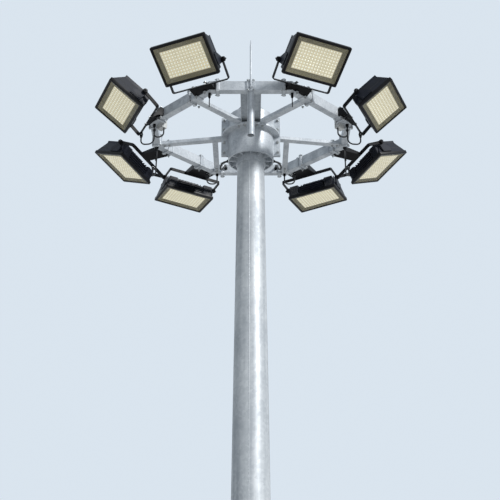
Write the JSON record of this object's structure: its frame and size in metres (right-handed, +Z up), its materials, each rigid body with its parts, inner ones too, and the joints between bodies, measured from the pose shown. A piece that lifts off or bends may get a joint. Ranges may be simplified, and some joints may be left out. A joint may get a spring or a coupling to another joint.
{
  "type": "high mast floodlight tower",
  "caption": "Tall tapered round steel mast with a bolted base flange, a clamped hub and an octagonal ring at its head carrying tilting LED floodlights on yokes.",
  "frame": {"origin": "centre of the base flange's flat underside, where the mast stands on its foundation", "axes": "+Z up along the mast, -Y the side that the service door and the lightning rod are on, +X right as seen from that side"},
  "size_m": [3.0182, 2.7476, 18.23],
  "materials": {
    "bracket_black": "semi-matt black coating",
    "cable_black": "matt black sheath",
    "galvanised": "hot-dip galvanised, dull blue-grey",
    "junction_box": "pale grey plastic",
    "lamp_front": "dark grey frame round an olive reflector",
    "lamp_housing": "dark grey powder coating on die-cast aluminium",
    "mast_steel": "hot-dip galvanised, weathered pale grey"
  },
  "bodies": {
    "mast_and_ring": {"base_flange": "galvanised", "base_gussets": "galvanised", "channels_near": "galvanised", "door_frame": "mast_steel", "drop_tube": "galvanised", "floodlight_far_brackets": "bracket_black", "floodlight_near_brackets": "bracket_black", "floodlight_side_far_brackets": "bracket_black", "floodlight_side_near_brackets": "bracket_black", "glands": "bracket_black", "hub_base": "galvanised", "hub_cables": "cable_black", "hub_half_far": "galvanised", "hub_half_near": "galvanised", "hub_top_ring": "galvanised", "junction_boxes": "junction_box", "lightning_rod": "galvanised", "lower_mast": "mast_steel", "mast_cap": "mast_steel", "ring_bar_far": "galvanised", "ring_bar_near": "galvanised", "ring_bars_far_diagonal": "galvanised", "ring_bars_near_diagonal": "galvanised", "ring_bars_side": "galvanised", "ring_cables": "cable_black", "ring_corners": "galvanised", "rod_clamp": "galvanised", "service_door": "mast_steel", "spokes_near": "galvanised", "spokes_side": "galvanised", "struts_far": "galvanised", "upper_mast": "mast_steel"},
    "floodlight_near_left": {"floodlight_near_left_housing": "lamp_housing", "floodlight_near_left_front": "lamp_front"},
    "floodlight_near_right": {"floodlight_near_right_housing": "lamp_housing", "floodlight_near_right_front": "lamp_front"},
    "floodlight_side_near_left": {"floodlight_side_near_left_housing": "lamp_housing", "floodlight_side_near_left_front": "lamp_front"},
    "floodlight_side_near_right": {"floodlight_side_near_right_housing": "lamp_housing", "floodlight_side_near_right_front": "lamp_front"},
    "floodlight_side_far_left": {"floodlight_side_far_left_housing": "lamp_housing", "floodlight_side_far_left_front": "lamp_front"},
    "floodlight_side_far_right": {"floodlight_side_far_right_housing": "lamp_housing", "floodlight_side_far_right_front": "lamp_front"},
    "floodlight_far_left": {"floodlight_far_left_housing": "lamp_housing", "floodlight_far_left_front": "lamp_front"},
    "floodlight_far_right": {"floodlight_far_right_housing": "lamp_housing", "floodlight_far_right_front": "lamp_front"}
  },
  "joints": [
    {"name": "floodlight_near_left_tilt", "type": "hinge", "parent": "mast_and_ring", "child": "floodlight_near_left", "pos_m": [-0.47468, -0.90001, 17.8841], "axis": [0.9026, -0.4305, 0], "range_deg": [-44, 41]},
    {"name": "floodlight_near_right_tilt", "type": "hinge", "parent": "mast_and_ring", "child": "floodlight_near_right", "pos_m": [0.47468, -0.90001, 17.8841], "axis": [0.9026, 0.4305, 0], "range_deg": [-44, 41]},
    {"name": "floodlight_side_near_left_tilt", "type": "hinge", "parent": "mast_and_ring", "child": "floodlight_side_near_left", "pos_m": [-1.01556, -0.36373, 17.82974], "axis": [0.3907, -0.9205, 0], "range_deg": [-45, 40]},
    {"name": "floodlight_side_near_right_tilt", "type": "hinge", "parent": "mast_and_ring", "child": "floodlight_side_near_right", "pos_m": [1.01556, -0.36373, 17.82974], "axis": [0.3907, 0.9205, 0], "range_deg": [-45, 40]},
    {"name": "floodlight_side_far_left_tilt", "type": "hinge", "parent": "mast_and_ring", "child": "floodlight_side_far_left", "pos_m": [-1.11304, 0.59325, 17.83525], "axis": [-0.4692, -0.8641, 0.1822], "range_deg": [-59, 25]},
    {"name": "floodlight_side_far_right_tilt", "type": "hinge", "parent": "mast_and_ring", "child": "floodlight_side_far_right", "pos_m": [1.11304, 0.59325, 17.83525], "axis": [-0.4692, 0.8641, -0.1822], "range_deg": [-59, 25]},
    {"name": "floodlight_far_left_tilt", "type": "hinge", "parent": "mast_and_ring", "child": "floodlight_far_left", "pos_m": [-0.63004, 1.09796, 17.81366], "axis": [-0.9035, -0.4213, 0.0785], "range_deg": [-80, 5]},
    {"name": "floodlight_far_right_tilt", "type": "hinge", "parent": "mast_and_ring", "child": "floodlight_far_right", "pos_m": [0.63004, 1.09796, 17.81366], "axis": [-0.9035, 0.4213, -0.0785], "range_deg": [-80, 5]}
  ]
}
